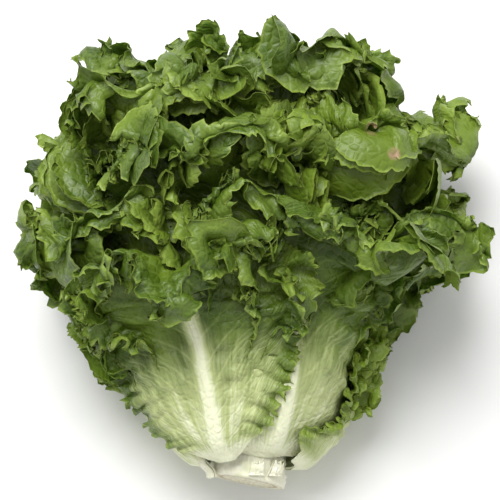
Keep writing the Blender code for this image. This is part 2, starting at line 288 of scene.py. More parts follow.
# The seed of the stem's noise, the stump's grid, the roundness of its cut edge, and the waves of its
# outline: how many go round it, their height and where they start.
STEM_SEED = 41
STUMP_SIDES = 144
CAP_RINGS = 14
WALL_RINGS = 40
CUT_EDGE = 0.0009
STUMP_WAVES = ((3.0, 0.00035, 1.0), (8.0, 0.0002, 0.0), (19.0, 0.00012, 2.0))

# The stubs of torn leaves, as in the solids: their grid, then the name, azimuth in degrees, length,
# thickness, lean in degrees and the frill at the end of each, and then where they start, their half
# width, how much of it they lose towards the end and how ragged they are.
STUB_COLUMNS = 49
STUB_ROWS = 41
STUBS = (
    ("torn_stub_left", -67.0, 0.021, 0.0032, 33.0, 0.0034),
    ("torn_stub_middle", 13.0, 0.009, 0.0028, 22.0, 0.0004),
    ("torn_stub_right", 42.0, 0.010, 0.0040, 24.0, 0.0004),
)
STUB_START = 0.0015
STUB_WIDTH = 0.0046
STUB_NARROWING = 0.35
STUB_TEAR = 0.0007

# The stage: what the camera looks at, its sensor, the large light and the floor.
LOOK_AT = Vector((0.0, -0.0085, 0.080))
SENSOR_WIDTH = 36.0
LIGHT_PLACE = Vector((-0.35, 0.75, 2.00))
LIGHT_SIZE = 1.5
FLOOR_HALF = 3.0


def rise(x):
    """From 0 to 1, smoothly, while x goes from 0 to 1."""
    x = np.clip(x, 0.0, 1.0)
    return x * x * (3.0 - 2.0 * x)


def fall(x):
    """From 1 to 0, smoothly, while x goes from 0 to 1."""
    return 1.0 - rise(x)


def hump(x, power=2):
    """1 in the middle, falling off on both sides to about a third at x = 1."""
    return np.exp(-(x**power))


def running(steps):
    """The sum of the steps so far, from 0."""
    return np.concatenate(([0.0], np.cumsum(steps)))


def unit(vectors):
    return vectors / np.maximum(np.linalg.norm(vectors, axis=-1, keepdims=True), 1e-12)


def core_radius(along):
    """Radius of the stem inside the head, at a distance from the cut."""
    return STUMP_RADIUS * np.sqrt(np.clip(1.0 - (along / CORE_LENGTH) ** CORE_TAPER, 0.0, 1.0))


def by_direction(azimuth, top, side, bottom):
    """A value that turns smoothly from top to side to bottom with the azimuth."""
    c = np.cos(azimuth)
    return side + np.where(c > 0.0, (top - side) * c * c, (bottom - side) * c * c)


def bent(points):
    """The head warped by one long wave after another, as its solids are."""
    rng = np.random.default_rng(BEND_SEED)
    for _ in range(BEND_COUNT):
        run = rng.normal(size=3)
        run /= np.linalg.norm(run)
        lift = np.cross(run, rng.normal(size=3))
        lift /= np.linalg.norm(lift)
        turn = math.tau / rng.uniform(*BEND_LENGTHS)
        phase = rng.uniform(0.0, math.tau)
        along, height = points[..., 1], points[..., 2]
        off_heart = np.hypot(points[..., 0], height) - STUMP_RADIUS / 2
        freedom = rise((along - BEND_START) / BEND_RAMP) * rise(off_heart / BEND_RAMP_OUT)
        freedom *= BEND_UNDERNEATH + (1.0 - BEND_UNDERNEATH) * rise(1.0 + height / AXIS_HEIGHT)
        wave = BEND_HEIGHT * freedom * np.sin(points @ run * turn + phase)
        points = points + wave[..., None] * lift
    return points


def tilted(points):
    """From the head's own frame to the one in which it lies, before it settles: y and height."""
    c, s = math.cos(AXIS_TILT), math.sin(AXIS_TILT)
    y, z = points[..., 1], points[..., 2]
    return y * c - z * s, y * s + z * c + AXIS_HEIGHT


def find_shift():
    """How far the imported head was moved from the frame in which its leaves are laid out."""
    heights = np.linspace(0.0, CORE_LENGTH * CORE_DRAWN_SHARE, 200)
    radius = core_radius(heights)
    low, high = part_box("stump")
    top = np.stack((0 * radius, heights, radius), axis=-1)
    under = np.stack((0 * radius, heights, -radius), axis=-1)
    return np.array(((low.x + high.x) / 2, high.y - tilted(under)[0].max(), high.z - tilted(top)[1].max()))


def laid(points):
    """From the head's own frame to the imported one: tilted, lifted and flattened underneath."""
    y, height = tilted(points)
    drop = SETTLE_DROP * fall(height / AXIS_HEIGHT)
    settled = SETTLE_HEIGHT * np.logaddexp(0.0, height / SETTLE_HEIGHT) - drop
    height = height + (settled - height) * rise((points[..., 1] - SETTLE_START) / SETTLE_RAMP)
    return np.stack((points[..., 0], y, height), axis=-1) + SHIFT


SHIFT = find_shift()


class Shell:
    """Where one leaf grows, how long and wide it is, and the shell that it follows, as in the solids."""

    def __init__(self, number):
        rng = np.random.default_rng([FRILL_SEED, number])
        self.number = number
        self.depth = number / (LEAF_COUNT - 1)
        self.azimuth = FIRST_AZIMUTH + number * GOLDEN_ANGLE
        self.start = FIRST_LEAF_HEIGHT + LEAF_PITCH * number
        self.length = float(self.reach(np.array(self.azimuth)))
        narrowing = (LEAF_WIDTH_OUTER - LEAF_WIDTH_HEART) * self.depth**LEAF_WIDTH_FALLOFF
        self.width = LEAF_WIDTH_OUTER - narrowing
        self.phase = rng.uniform(0.0, math.tau, size=2)

    def lean(self, azimuth):
        side = LEAN_OUTER - (LEAN_OUTER - LEAN_HEART) * self.depth**LEAN_FALLOFF
        return side * by_direction(azimuth, LEAN_TOP_SHARE, 1.0, LEAN_BOTTOM_SHARE)

    def reach(self, azimuth):
        side = LEAF_LENGTH_OUTER + LEAF_LENGTH_GAIN * (1.0 - (1.0 - self.depth) ** LEAF_LENGTH_FALLOFF)
        on_top = by_direction(azimuth, TOP_EXTRA_LENGTH, 0.0, 0.0)
        return side + on_top * (1.0 - self.depth) ** TOP_EXTRA_FALLOFF

    def path(self, distance, azimuth):
        """Distance along the head's axis and radius from it, after a distance along the leaf."""
        lean = self.lean(azimuth)
        fold = by_direction(azimuth, FOLD_TOP, FOLD_SIDE, FOLD_BOTTOM)
        fold = fold * (1.0 - FOLD_LOST_AT_HEART * self.depth)
        reach = self.reach(azimuth)
        fold = fold * rise((reach - FOLD_FROM) / FOLD_RAMP)
        fold_start = reach - FOLD_LENGTH
        flare = SHOULDER_FLARE * math.exp(-self.number / FLARE_FADE) * np.sin(azimuth) ** 2
        along = np.full(distance.shape, self.start)
        radius = np.full(distance.shape, float(core_radius(self.start)) + 2.0 * GAP)
        step = distance / PATH_STEPS
        for i in range(PATH_STEPS):
            middle = (i + 0.5) * step
            into_fold = (middle - fold_start) / FOLD_LENGTH
            shoulder = (SHOULDER + flare) * fall(middle / SHOULDER_LENGTH)
            angle = np.radians(lean + shoulder + fold * rise(into_fold / FOLD_SHARE))
            along = along + np.cos(angle) * step
            radius = radius + np.sin(angle) * step
        return along, radius

    def folds(self, sideways, along):
        """How far through the margin's folds a point of the flat leaf is, as an angle."""
        turn = np.arctan2(sideways, along - FRILL_CENTRE * self.length)
        swing = FRILL_UNEVENNESS * np.sin(2.0 * turn + self.phase[1])
        return FRILL_FOLDS * turn + self.phase[0] + swing

    def plain_flat(self, u, v):
        sideways = v * np.interp(u, OUTLINE_AT, OUTLINE_HALF) * self.width
        return sideways, self.length * (u - TIP_ROUNDING * np.abs(v) ** TIP_POWER * u**3)

    def flat(self, u, v):
        """Position in the flat leaf: sideways from the midrib, and along it."""
        sideways, along = self.plain_flat(u, v)
        lobe = LOBE_DEPTH * self.edge(u, v) * np.cos(self.folds(sideways, along))
        return sideways * (1.0 + lobe), along + (along - LOBE_CENTRE * self.length) * lobe

    def place(self, sideways, distance):
        """Point of the smooth shell, before its waves, in the head's own frame."""
        _, radius_at_rib = self.path(distance, np.full(distance.shape, self.azimuth))
        azimuth = self.azimuth + sideways / radius_at_rib
        along, radius = self.path(distance, azimuth)
        return np.stack((radius * np.sin(azimuth), along, radius * np.cos(azimuth)), axis=-1)

    def edge(self, u, v):
        """0 on the midrib and at the base, 1 on the frilled margin."""
        return rise((u - 0.5) / 0.4) * np.maximum(np.abs(v) ** 1.5, rise((u - 0.7) / 0.3))

    def frill(self, u, v):
        """Folds that run out from the middle of the blade and grow towards its margin."""
        height = FRILL_HEIGHT * (1.0 - FRILL_LOST_AT_HEART * self.depth**2)
        height *= by_direction(self.azimuth, 1.0, 1.0, FRILL_BOTTOM_SHARE)
        return height * self.edge(u, v) * np.sin(self.folds(v * self.width, u * self.length))

    def underneath(self):
        return self.start + self.length * math.cos(math.radians(float(self.lean(math.pi))))

    def floor(self, points):
        """The height that the leaf is pressed down to: each a little above the one outside it."""
        ends = np.array([Shell(number).underneath() for number in range(LEAF_COUNT)])
        x, y = points[..., 0] - SHIFT[0], points[..., 1] - SHIFT[1]
        ended = np.interp(y, ends, range(LEAF_COUNT)) - 1.0
        below = np.clip(self.number - np.maximum(LEAVES_ON_SURFACE, ended), 0.0, None)
        wave = np.sin(x / PRESSED_WAVE) * np.sin(y / PRESSED_WAVE)
        return PRESSED_GAP * below**PRESSED_POWER * (1.0 + PRESSED_WAVE_SHARE * wave)


def pushed(points):
    """Points moved so that the head's outline comes nearer to the photo's, alike for every leaf."""
    moved = points.copy()
    for middle, reach, shift in PUSHES:
        away = np.sum((points - np.array(middle)) ** 2, axis=-1, keepdims=True)
        moved = moved + np.array((*shift, 0.0)) * np.exp(-away / reach**2)
    return moved


def grid_normals(points):
    """Unit normals of a grid of points, on the leaf's back. Where the grid's two halves share their first
    column, the rib, they share its normals."""
    normals = np.cross(np.gradient(points, axis=0), np.gradient(points, axis=1))
    if np.allclose(points[0, 0], points[-1, 0]):
        normals[:, 0] = normals[:, 0] + normals[::-1, 0]
    return unit(normals)


def raised(points, height):
    """A grid of points moved along its normals."""
    return points + grid_normals(points) * height[..., None]


def drift(rng, s, length, height):
    """A smooth uneven run of numbers along the margin."""
    total = np.zeros_like(s)
    for _ in range(3):
        turn = math.tau / (length * rng.uniform(1.6, 5.0))
        total += np.sin(s * turn + rng.uniform(0.0, math.tau))
    return height * total / 1.8


def uneven(rng, s, length, spread, middle, low, high):
    """A share that drifts around its middle value along the margin, and stays between low and high."""
    return np.clip(middle + drift(rng, s, length, spread), low, high)


def noise_field(rng, a, b, length):
    """Smooth noise over two coordinates, with bumps of about the given length."""
    total = np.zeros(np.broadcast(a, b).shape)
    for _ in range(NOISE_WAVES):
        way = rng.uniform(0.0, math.tau)
        turn = math.tau / (length * rng.uniform(0.75, 1.5))
        total += np.sin((a * math.cos(way) + b * math.sin(way)) * turn + rng.uniform(0.0, math.tau))
    return total / math.sqrt(NOISE_WAVES / 2.0)


def curled(rng, points, s, to_margin, strength, waves):
    """Fold a sheet along its free margin by one wave after another, each on the sheet that the last left.

    s is the distance along the margin and to_margin the distance from it. Each wave has a length, a height,
    how far in from the margin it reaches, and how much it leans over along the margin.
    """
    for length, height, band, lean in waves:
        run = s + drift(rng, s, length, 0.22 * length)
        skew = 0.35 * length * np.sin(math.tau * to_margin / (1.7 * band) + rng.uniform(0.0, math.tau))
        angle = math.tau * (run + skew) / length
        grow = uneven(rng, s, length * 2.3, spread=0.5, middle=0.85, low=0.15, high=1.6)
        grow = strength * grow * np.clip(1.0 - to_margin / band, 0.0, 1.0) ** 1.5
        normals = grid_normals(points)
        tangents = unit(np.gradient(points, axis=0))
        points = points + normals * (height * grow * np.sin(angle))[..., None]
        points = points - tangents * (lean * length * grow * np.sin(2.0 * angle))[..., None]
    return points


def toothed(rng, points, s, run, to_margin, strength, looks):
    """Lobes and teeth, by moving the margin out and in. run is the distance along the curled margin."""
    outward = unit(np.gradient(points, axis=1))
    along = run + drift(rng, run, 0.02, 0.3 * looks.lobe_length)
    lobes = np.abs(np.sin(math.pi * along / looks.lobe_length)) ** 0.7 - 0.5
    lobes = lobes * uneven(rng, run, 0.03, spread=0.6, middle=0.9, low=0.2, high=1.6)
    lobes = lobes + drift(rng, s, 0.012, 0.35)
    wander = run + drift(rng, run, 0.008, 0.35 * looks.tooth_length)
    point = 1.0 - np.abs(2.0 * (wander / looks.tooth_length % 1.0) - 1.0)
    teeth = point**1.4 * uneven(rng, run, 0.009, spread=0.6, middle=0.8, low=0.1, high=1.6)
    near = strength * np.clip(1.0 - to_margin / TOOTH_BAND, 0.0, 1.0)
    wide = strength * rise(1.0 - to_margin / LOBE_BAND)
    move = looks.lobe_depth * wide * lobes + looks.tooth_height * near * teeth
    return points + outward * move[..., None]


def margin_run(points):
    """Distance along the margin of a grid of points, from its first column."""
    return running(np.linalg.norm(np.diff(points[:, -1], axis=0), axis=1))


def thickness_at(to_margin, looks):
    """The thickness of a blade, which goes down to about half at its margin."""
    return looks.blade_thickness * (0.45 + 0.55 * rise(to_margin / THIN_BAND))


def faces_above(points, thickness, floor):
    """The inner and outer faces of a blade, kept above what it lies on and below the solids' top."""
    over = np.maximum(points[..., 2] - (TOP - TOP_SOFT), 0.0)
    points[..., 2] += TOP_SOFT * (1.0 - np.exp(-over / TOP_SOFT)) - over
    lifted = floor + FLOOR_SOFT * np.logaddexp(0.0, (points[..., 2] - floor) / FLOOR_SOFT)
    points[..., 2] = np.where(points[..., 2] < floor + FLOOR_BAND, lifted, points[..., 2])
    outer = raised(points, thickness)
    raise_by = np.maximum(0.0, floor + FACE_GAP - outer[..., 2])
    points[..., 2] += raise_by
    outer[..., 2] += raise_by
    return points, outer


class Blade:
    """The finer blade of one leaf, in columns around its margin and rows from its rib to its margin."""

    strides = BLADE_STRIDES
    folded = True

    def __init__(self, number, looks):
        self.shell, self.looks = Shell(number), looks
        self.lay_out(self.even_columns())
        run = margin_run(self.curl(None))
        # The columns are laid out again, now in step with the curled margin and wider apart at the base.
        half = BLADE_COLUMNS // 2
        mean = (np.diff(run)[:half] + np.diff(run)[: half - 1 : -1]) / 2.0
        dense = BASE_COLUMNS + (1.0 - BASE_COLUMNS) * rise(self.q[1 : half + 1, 0] / BASE_COLUMNS_END)
        both = running(mean * dense)
        column = np.interp(np.linspace(0.0, both[-1], half + 1), both, self.q[: half + 1, 0])
        around = self.around[:, 0]
        self.lay_out(column)
        self.finish(self.curl(np.interp(self.around[:, 0], around, run)[:, None]))

    def even_columns(self):
        """Places in like steps around the margin: 0 is the base, 1 the corner and 2 the tip."""
        q = np.linspace(0.0, 2.0, BLADE_COLUMNS)
        margin = np.stack(self.shell.plain_flat(np.minimum(q, 1.0), np.minimum(2.0 - q, 1.0)), axis=-1)
        self.arc = (q, margin_run(margin[:, None]))
        return np.interp(np.linspace(0.0, self.arc[1][-1], BLADE_COLUMNS // 2 + 1), self.arc[1], q)

    def lay_out(self, column):
        """Where the grid's points are in the flat leaf. column holds the places of half of its columns."""
        shell, half = self.shell, BLADE_COLUMNS // 2
        self.q = q = np.concatenate((column, column[-2::-1]))[:, None]
        side = np.concatenate((-np.ones(half), [0.0], np.ones(half)))[:, None]
        self.r = r = np.broadcast_to(np.array(BLADE_ROWS)[None, :], (BLADE_COLUMNS, len(BLADE_ROWS)))
        self.around = side * (self.arc[1][-1] - np.interp(q, *self.arc)) + 0.0 * r
        margin_u, margin_v = np.minimum(q, 1.0), np.minimum(2.0 - q, 1.0)
        to_tip = 1.0 - CORNER_ROW_DROP + TIP_ROW_RISE * (q - 1.0)
        rib_u = np.where(q < 1.0, q * (1.0 - CORNER_ROW_DROP * q), to_tip)
        self.u = rib_u + (margin_u - rib_u) * r
        self.v = side * margin_v * r
        ends = np.stack(shell.plain_flat(margin_u, side * margin_v), axis=-1)
        starts = np.stack(shell.plain_flat(rib_u, 0.0 * rib_u), axis=-1)
        self.to_margin = np.linalg.norm(ends - starts, axis=-1) * (1.0 - r)
        self.sideways, self.along = shell.plain_flat(self.u, self.v)

    def on_shell(self):
        """The blade's points on the solid leaf's shell, with its folds and before any curls."""
        shell, u = self.shell, self.u
        reach, width = REACH_OF.get(shell.number, FINE_REACH), WIDTH_OF.get(shell.number, 1.0)
        sideways, along = shell.flat(reach * u, width * self.v)
        widen, narrow, later = BASES[min(shell.number, len(BASES) - 1)]
        spread = 1.0 + widen * rise(u / SPREAD_RAMP) * fall((u - SPREAD_END) / SPREAD_FADE)
        spread = spread - narrow * fall(u / NARROW_FADE)
        self.across = np.abs(self.sideways) * spread
        smooth = shell.place(sideways * spread, along + later * fall(along / START_FADE))
        return laid(bent(raised(smooth, shell.frill(u, self.v))))

    def curl(self, run):
        """The blade's points with curls and puckers, and with lobes and teeth where run is given."""
        shell, looks, u, s = self.shell, self.looks, self.u, self.around[:, :1]
        rng = np.random.default_rng([FRILL_SEED, 900, shell.number])
        start = CURL_START - CURL_EARLIER * math.exp(-shell.number / 3.0)
        lively = rise((u - start) / CURL_RAMP)
        low = 1.0 - CURL_LOST_UNDERNEATH * rise((-math.cos(shell.azimuth) - 0.3) / 0.5)
        strength = lively * low * (1.0 - CURL_LOST_AT_HEART * shell.depth)
        strength = strength * CURL_OF.get(shell.number, 1.0) * rise(self.r / CURL_OFF_RIB)
        folds = (looks.fold_length, looks.fold_height, looks.fold_band, 0.03)
        curls = (looks.curl_length, looks.curl_height, looks.curl_band, 0.04)
        ruffles = (looks.ruffle_length, looks.ruffle_height, looks.ruffle_band, 0.03)
        above = rise((self.along - FOLDS_FROM) / FOLDS_RAMP)
        points = curled(rng, self.on_shell(), s, self.to_margin, strength * above, (folds,))
        points = curled(rng, points, s, self.to_margin, strength, (curls, ruffles))
        self.rib = hump(self.across / (RIB_HALF_WIDTH * (1.0 - u) ** 0.75 + RIB_TIP_HALF_WIDTH), 2.6)
        pucker = noise_field(rng, self.sideways, self.along, 0.009) * 0.8
        pucker += noise_field(rng, self.sideways, self.along, 0.019)
        grow = (1.0 - self.rib) * rise((u - 0.12) / 0.3) * rise(self.r / 0.15)
        points = raised(points, looks.pucker_height * grow * pucker)
        return points if run is None else toothed(rng, points, s, run, self.to_margin, lively, looks)

    def finish(self, points):
        """Both faces of the blade, with ribs on its back, and where it is pale and its veins run."""
        u, along = self.u, self.along
        share = by_direction(self.shell.azimuth, 1.0, 1.0, 0.4) * (0.2 + 0.8 * rise(along / 0.016))
        ridge = RIB_HEIGHT * share * (1.0 - u) ** 1.3 * self.rib
        wing = WING_HEIGHT * share * (1.0 - u) ** 3.0 * hump(self.sideways / WING_HALF_WIDTH)
        self.fan = np.sign(self.sideways) * self.across / (along + FAN_CENTRE)
        side_ribs = sum(hump((np.abs(self.fan) - at) / (0.030 + 0.05 * at)) for at in SIDE_RIBS_AT)
        side_ribs = side_ribs * fall((along - SIDE_RIBS_END) / SIDE_RIBS_FADE)
        side_ribs = side_ribs * rise(self.to_margin / 0.012)
        points = pushed(points)
        thickness = thickness_at(self.to_margin, self.looks) + ridge + wing
        thickness = thickness + SIDE_RIB_HEIGHT * share * side_ribs * (1.0 - self.rib)
        self.inner, self.outer = faces_above(points, thickness, self.shell.floor(points))
        rib = hump(self.across / (WHITE_HALF_WIDTH * (1.0 - u) ** 0.5 + WHITE_TIP_HALF_WIDTH), 3)
        end = WHITE_END + WHITE_END_MORE * math.exp(-self.shell.number / 2.0)
        rib = rib * (1.0 - 0.92 * rise((u - end) / WHITE_FADE))
        base = fall((along - BASE_END) / BASE_FADE)
        base = base * (0.22 + 0.78 * rise(self.to_margin / 0.018)) * (0.82 + 0.28 * side_ribs)
        root = fall((along - ROOT_END) / ROOT_FADE)
        self.pale = np.clip(np.maximum(np.maximum(rib, 0.85 * base), root), 0.0, 1.0)
        slant = VEIN_SLANT + VEIN_SLANT_AT_BASE * np.exp(-along / VEIN_SLANT_FADE)
        self.vein = along - slant * np.abs(self.sideways)


class Frill:
    """A frill that stands off the blade, where the leaf is too wide for its midrib and doubles over."""

    strides = FRILL_STRIDES
    folded = False

    def __init__(self, blade, tier, looks):
        self.blade, self.tier, self.looks = blade, tier, looks
        rng = np.random.default_rng([FRILL_SEED, 600 + tier, blade.shell.number])
        s = blade.around[:, 0]
        column = uneven(rng, s, 0.05, spread=0.05, middle=DOUBLED_AT[tier], low=0.2, high=0.9)
        place = np.interp(column, BLADE_ROWS, range(len(BLADE_ROWS)))
        left = np.minimum(place.astype(int), len(BLADE_ROWS) - 2)
        part, rows = (place - left)[:, None], np.arange(len(left))
        pick = lambda grid: grid[rows, left] * (1.0 - part) + grid[rows, left + 1] * part
        middle = (blade.inner + blade.outer) / 2.0
        self.root_u = pick(blade.u[..., None])[:, 0]
        self.root = pick(middle), pick(unit(np.gradient(middle, axis=1))), pick(grid_normals(middle))
        standing = np.nonzero(self.root_u > DOUBLED_FROM)[0]
        ask = np.linspace(standing[0], standing[-1], FRILL_COLUMNS)
        run = margin_run(self.curl(ask, None))
        even = np.interp(np.linspace(0.0, run[-1], FRILL_COLUMNS), run, ask)
        points = self.curl(even, np.interp(even, ask, run)[:, None])
        thickness = thickness_at(self.to_margin, looks)
        self.inner, self.outer = faces_above(points, thickness, blade.shell.floor(points))
        self.pale, self.vein, self.fan = 0.0 * self.to_margin, self.around, 2.0 + 30.0 * self.around

    def curl(self, ask, run):
        """The frill's points for places along the blade's columns, with teeth where run is given."""
        shell, looks, rows = self.blade.shell, self.looks, np.arange(BLADE_COLUMNS)
        rng = np.random.default_rng([FRILL_SEED, 700 + self.tier, shell.number])
        at = lambda values: np.stack([np.interp(ask, rows, values[:, k]) for k in range(3)], axis=-1)
        root, outward, normal = at(self.root[0]), unit(at(self.root[1])), unit(at(self.root[2]))
        normal = normal * (1.0 if np.sum(normal * (root - CROWN_MIDDLE)) > 0.0 else -1.0)
        s = np.interp(ask, rows, self.blade.around[:, 0])[:, None]
        grow = rise((np.interp(ask, rows, self.root_u) - DOUBLED_FROM) / DOUBLED_RAMP)
        ends = rise(np.minimum(ask - ask[0], ask[-1] - ask) / DOUBLED_ENDS)
        wander = uneven(rng, s[:, 0], 0.03, spread=0.45, middle=0.9, low=0.35, high=1.4)
        outer = (0.7 + 0.3 * rise(shell.number / 4.0)) * LONG_FRILL.get(shell.number, 1.0)
        length = (looks.frill_length * grow * ends * wander * outer + DOUBLED_LEAST)[:, None]
        x = np.array(FRILL_ROWS)
        turn = np.radians(DRAPE_START + DRAPE[self.tier] * rise((x[1:] + x[:-1]) / 2.0))
        out, up = running(np.cos(turn) * np.diff(x)), running(np.sin(turn) * np.diff(x))
        points = root[:, None] + outward[:, None] * (length * out)[..., None]
        points = points + normal[:, None] * (length * up)[..., None]
        self.to_margin = length * (1.0 - x)
        self.around = s + 0.0 * self.to_margin
        self.r = DOUBLED_AT[self.tier] + (1.0 - DOUBLED_AT[self.tier]) * (x + 0.0 * self.to_margin)
        strength = rise(length / 0.012) * (1.0 - CURL_LOST_AT_HEART * shell.depth)
        strength = strength * CURL_OF.get(shell.number, 1.0)
        curls = (1.5 * looks.curl_length, 1.25 * looks.curl_height, 1.2 * looks.frill_length, 0.06)
        ruffles = (1.3 * looks.ruffle_length, 1.3 * looks.ruffle_height, looks.ruffle_band, 0.05)
        points = curled(rng, points, s, self.to_margin, strength, (curls, ruffles))
        pucker = noise_field(rng, self.around, self.to_margin, 0.010)
        points = raised(points, DOUBLED_PUCKER * pucker)
        strength = np.minimum(strength, 1.0)
        return points if run is None else toothed(rng, points, s, run, self.to_margin, strength, looks)


def grid_ids(shape, strides, folded):
    """Which vertex stands for each place of a grid. A row with a stride takes that many columns as one,
    counted from both ends, and a folded grid's halves share their first row."""
    around, across = shape
    column = np.arange(around)[:, None]
    stride = np.array(strides)[None, :]
    half = around // 2
    kept = np.where(column <= half, column - column % stride, column + (-column) % stride)
    ids = kept * across + np.arange(across)[None, :]
    if folded:
        ids[half + 1 :, 0] = ids[:half, 0][::-1]
    return ids


def triangles(ids):
    """The triangles of a grid of vertices, without those that have shrunk to a line."""
    a, b, c, d = ids[:-1, :-1].ravel(), ids[1:, :-1].ravel(), ids[1:, 1:].ravel(), ids[:-1, 1:].ravel()
    both = np.concatenate((np.stack((a, b, c), axis=-1), np.stack((a, c, d), axis=-1)))
    return both[(both[:, 0] != both[:, 1]) & (both[:, 1] != both[:, 2]) & (both[:, 0] != both[:, 2])]


def closed_sheet(ids, folded):
    """Triangles of a sheet's two faces and its rim, and how many vertices its inner face has."""
    count = ids.max() + 1
    low = triangles(ids)
    rim = [ids[0, :], ids[1:, -1], ids[-1, -2::-1]]
    if not folded:
        rim.append(ids[-2::-1, 0])
    rim = np.concatenate(rim)
    rim = rim[np.concatenate(([True], rim[1:] != rim[:-1]))]
    band = triangles(np.stack((rim + count, rim), axis=-1))
    return np.concatenate((low[:, ::-1], low + count, band[:, ::-1])), count


def build_mesh(name, corners, points, attributes):
    """A smooth mesh of triangles without unused points. attributes have one value or vector a point."""
    used, corners = np.unique(corners, return_inverse=True)
    corners = corners.reshape(-1, 3)
    mesh = bpy.data.meshes.new(name)
    mesh.vertices.add(len(used))
    mesh.vertices.foreach_set("co", points[used].astype(np.float32).ravel())
    mesh.loops.add(corners.size)
    mesh.loops.foreach_set("vertex_index", corners.astype(np.int32).ravel())
    mesh.polygons.add(len(corners))
    mesh.polygons.foreach_set("loop_start", np.arange(0, corners.size, 3, dtype=np.int32))
    mesh.update(calc_edges=True)
    mesh.shade_smooth()
    for label, values in attributes.items():
        kind, key = ("FLOAT", "value") if values.ndim == 1 else ("FLOAT_VECTOR", "vector")
        layer = mesh.attributes.new(label, kind, "POINT")
        layer.data.foreach_set(key, values[used].astype(np.float32).ravel())
    return mesh


def leaf_mesh(name, sheets):
    """One mesh of closed sheets: the blade, and the frills that stand off it."""
    corners, start, layers = [], 0, {"points": [], "pale": [], "to_margin": [], "blade": []}
    for sheet in sheets:
        ids = grid_ids(sheet.to_margin.shape, sheet.strides, sheet.folded)
        faces, count = closed_sheet(ids, sheet.folded)
        corners.append(faces + start)
        start += 2 * count
        blade = np.stack((sheet.vein, sheet.r, sheet.fan), axis=-1)
        for face in (sheet.inner, sheet.outer):
            for layer, grid in zip(layers.values(), (face, sheet.pale, sheet.to_margin, blade)):
                layer.append(grid.reshape(-1, *grid.shape[2:])[:count])
    layers = {label: np.concatenate(parts) for label, parts in layers.items()}
    return build_mesh(name, np.concatenate(corners), layers.pop("points"), layers)


def stump_mesh():
    """The stem: its slanting cut face, out to a soft edge, and then its wall up into the head."""
    rng = np.random.default_rng(STEM_SEED)
    turn = np.linspace(0.0, math.tau, STUMP_SIDES + 1)[:, None]
    cap = np.linspace(0.0, 1.0, CAP_RINGS)[None, :-1]
    wall = np.linspace(0.0, 1.0, WALL_RINGS)[None, :] ** 1.3
    slope = math.tan(CUT_SLANT)
    edge = -slope * STUMP_RADIUS * np.sin(turn)
    wavy = sum(height * np.sin(count * turn + phase) for count, height, phase in STUMP_WAVES)
    cap_radius = cap * (STUMP_RADIUS - CUT_EDGE) + wavy * cap
    sunk = 0.0005 * (1.0 - cap**2) + 0.00012 * np.sin(11.0 * cap + 3.0 * np.cos(turn))
    cap_along = -slope * cap_radius * np.sin(turn) + sunk
    wall_along = edge + CUT_EDGE + wall * (CORE_LENGTH * CORE_DRAWN_SHARE - edge - CUT_EDGE)
    wall_along[:, :1] = edge + 0.0002
    wall_radius = core_radius(np.maximum(wall_along, 0.0)) - 0.0006 * np.exp(-wall * 60.0) + wavy
    ribbed = 0.00035 * np.sin(13.0 * turn + 40.0 * wall_along / STUMP_RADIUS) + 0.0002 * np.sin(31.0 * turn)
    lumps = noise_field(rng, turn * STUMP_RADIUS, wall_along, 0.006)
    wall_radius = np.maximum(wall_radius + (ribbed + 0.00025 * lumps) * rise(wall / 0.05), 0.0)
    radius = np.concatenate((cap_radius, wall_radius), axis=1)
    along = np.concatenate((cap_along, wall_along), axis=1)
    points = laid(np.stack((radius * np.sin(turn), along, radius * np.cos(turn)), axis=-1)).reshape(-1, 3)
    ids = np.arange(radius.size).reshape(radius.shape)
    ids[-1] = ids[0]
    ids[:, 0] = ids[0, 0]
    ids[:, -1] = ids[0, -1]
    cut = np.concatenate((cap + 0.0 * turn, 0.0 * wall_along - 1.0), axis=1)
    corners = facing_out(points, triangles(ids))
    return build_mesh("fine_stump", corners, points, {"cut": cut.ravel()})


def facing_out(points, corners):
    """The triangles of a closed surface, turned over if they enclose a negative volume."""
    a, b, c = points[corners[:, 0]], points[corners[:, 1]], points[corners[:, 2]]
    volume = np.einsum("ij,ij->", a - a[0], np.cross(b - a[0], c - a[0]))
    return corners if volume > 0.0 else corners[:, ::-1]


def stub_mesh(name, azimuth, length, thickness, lean, frill):
    """What is left of a leaf torn off: a strip of its thick rib with a ragged, thinning end."""
    rng = np.random.default_rng([STEM_SEED, int(100.0 + azimuth)])
    v = np.linspace(-1.0, 1.0, STUB_COLUMNS)[:, None]
    u = np.linspace(0.0, 1.0, STUB_ROWS)[None, :]
    torn = STUB_TEAR * u**4 * np.sin(9.0 * v + math.radians(azimuth))
    torn = torn + 0.0004 * u**5 * noise_field(rng, v * 0.006, 0.0 * u, 0.005)
    angle = math.radians(lean) * rise(2.0 * u)
    along = STUB_START + u * length * np.cos(angle) + torn
    radius = STUMP_RADIUS + GAP + u * length * np.sin(angle)
    around = math.radians(azimuth) + v * (STUB_WIDTH / STUMP_RADIUS) * (1.0 - STUB_NARROWING * u)
    points = laid(np.stack((radius * np.sin(around), along, radius * np.cos(around)), axis=-1))
    wave = np.clip((u - 0.5) / 0.5, 0.0, 1.0) ** 1.4 * np.sin(7.5 * v + 3.0 * u)
    points = raised(points, frill * wave)
    ridges = 1.0 + 0.04 * np.sin(11.0 * v) + 0.04 * noise_field(rng, v * 0.006, u * length, 0.0025)
    depth = thickness * (1.0 - 0.25 * u - 0.35 * u**4) * (1.0 - 0.45 * v**4) * ridges
    outer = raised(points, depth)
    corners, _ = closed_sheet(np.arange(depth.size).reshape(depth.shape), False)
    both = np.concatenate((points.reshape(-1, 3), outer.reshape(-1, 3)))
    up = np.tile((u + 0.0 * v).ravel(), 2)
    ragged = 1.0 if frill > 0.001 else 0.6
    attributes = {"cut": np.full_like(up, -1.0), "end": up * ragged}
    return build_mesh(f"fine_{name}", facing_out(both, corners), both, attributes)


def add_object(name, data):
    obj = bpy.data.objects.new(name, data)
    bpy.context.scene.collection.objects.link(obj)
    return obj


